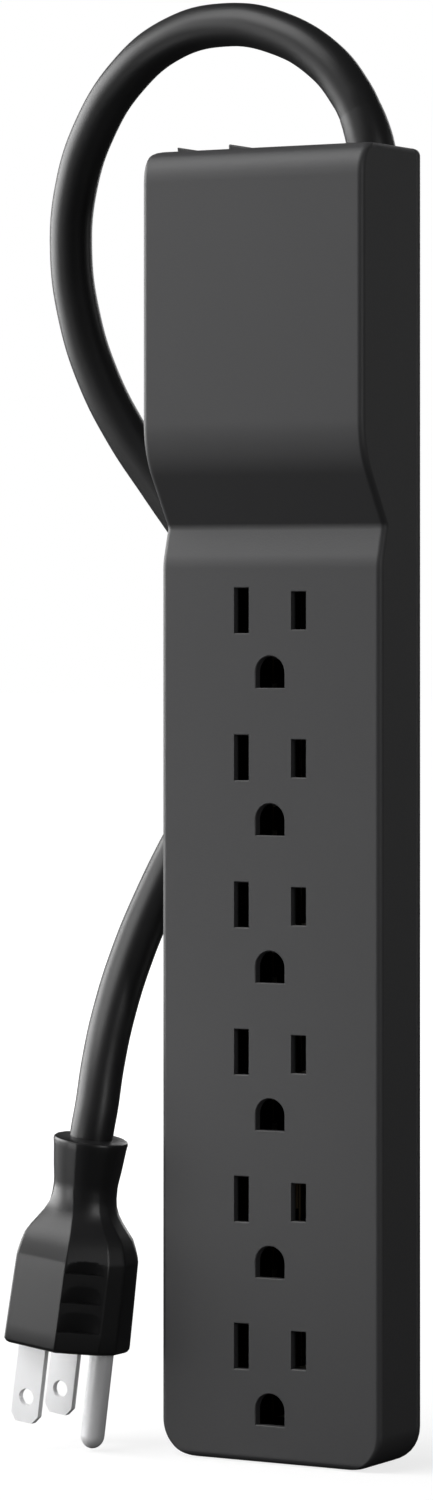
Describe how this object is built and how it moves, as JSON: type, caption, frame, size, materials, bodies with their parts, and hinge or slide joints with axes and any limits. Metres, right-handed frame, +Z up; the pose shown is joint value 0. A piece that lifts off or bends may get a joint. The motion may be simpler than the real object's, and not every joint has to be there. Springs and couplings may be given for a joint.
{
  "type": "surge protector power strip",
  "caption": "Upright surge protector strip with a row of grounded outlets, raised electronics block, power rocker, reset button and a cord with a grounded plug.",
  "frame": {"origin": "middle of the housing, on the surface that its bottom end stands on", "axes": "+Z up along the strip towards the cord exit, -Y out of the outlets, +X to the right seen from the front"},
  "size_m": [0.0864, 0.0479, 0.2851],
  "materials": {
    "shell_plastic": "fine matte texture, dark grey",
    "cover_plastic": "fine matte texture, darker grey",
    "control_plastic": "satin black",
    "cord_jacket": "satin black, flexible",
    "insulating_plastic": "matte off-white",
    "contact_brass": "stamped strip",
    "blade_nickel": "bright nickel plate",
    "screw_steel": "zinc plated",
    "circuit_board": "green board",
    "varistor_coating": "dipped blue coating",
    "fuse_case": "drawn can",
    "capacitor_case": "yellow film capacitor box",
    "black_insulation": "wire insulation",
    "white_insulation": "wire insulation",
    "green_insulation": "wire insulation"
  },
  "bodies": {
    "housing": {"back_cover": "cover_plastic", "board_lead_ground": "green_insulation", "board_lead_hot": "black_insulation", "board_lead_neutral": "white_insulation", "board_screw_1": "screw_steel", "board_screw_2": "screw_steel", "breaker_body": "insulating_plastic", "breaker_lead": "black_insulation", "breaker_terminal_line": "contact_brass", "breaker_terminal_load": "contact_brass", "bus_retainer": "insulating_plastic", "circuit_board": "circuit_board", "clamp_screw": "screw_steel", "cord_clamp": "insulating_plastic", "cord_inner_end": "cord_jacket", "cover_screw_1": "screw_steel", "cover_screw_2": "screw_steel", "cover_screw_3": "screw_steel", "cover_screw_4": "screw_steel", "cover_screw_5": "screw_steel", "cover_screw_6": "screw_steel", "filter_capacitor": "capacitor_case", "front_shell": "shell_plastic", "ground_bus": "contact_brass", "ground_lead": "green_insulation", "hot_bus": "contact_brass", "line_lead": "black_insulation", "neutral_bus": "contact_brass", "neutral_lead": "white_insulation", "plug_blade_line": "blade_nickel", "plug_blade_neutral": "blade_nickel", "plug_body": "cord_jacket", "plug_ground_pin": "blade_nickel", "power_cord": "cord_jacket", "reset_spring": "screw_steel", "retainer_screw_1": "screw_steel", "retainer_screw_2": "screw_steel", "retainer_screw_3": "screw_steel", "strain_relief": "cord_jacket", "switch_common_terminal": "contact_brass", "switch_housing": "control_plastic", "switch_lead": "black_insulation", "switch_load_terminal": "contact_brass", "thermal_fuse": "fuse_case", "varistor_1": "varistor_coating", "varistor_2": "varistor_coating", "varistor_3": "varistor_coating"},
    "rocker": {"power_rocker": "control_plastic"},
    "contact_arm": {"rocker_contact_arm": "contact_brass"},
    "reset": {"reset_button": "control_plastic"}
  },
  "joints": [
    {"name": "rocker_tilt", "type": "hinge", "parent": "housing", "child": "rocker", "pos_m": [-0.0166, -0.0025, 0.2514], "axis": [0, -1, 0], "range_deg": [0, 24]},
    {"name": "contact_arm_tilt", "type": "hinge", "parent": "housing", "child": "contact_arm", "pos_m": [-0.0166, -0.0025, 0.2414], "axis": [0, -1, 0], "range_deg": [-16, 0]},
    {"name": "reset_press", "type": "slide", "parent": "housing", "child": "reset", "axis": [0, 0, -1], "range_m": [0, 0.0015], "stiffness_N_per_m": 300, "springref_m": -0.001, "deforming": ["reset_spring"]}
  ],
  "couplings": [
    {"joint": "contact_arm_tilt", "follows": "rocker_tilt", "ratio": -0.6666}
  ]
}
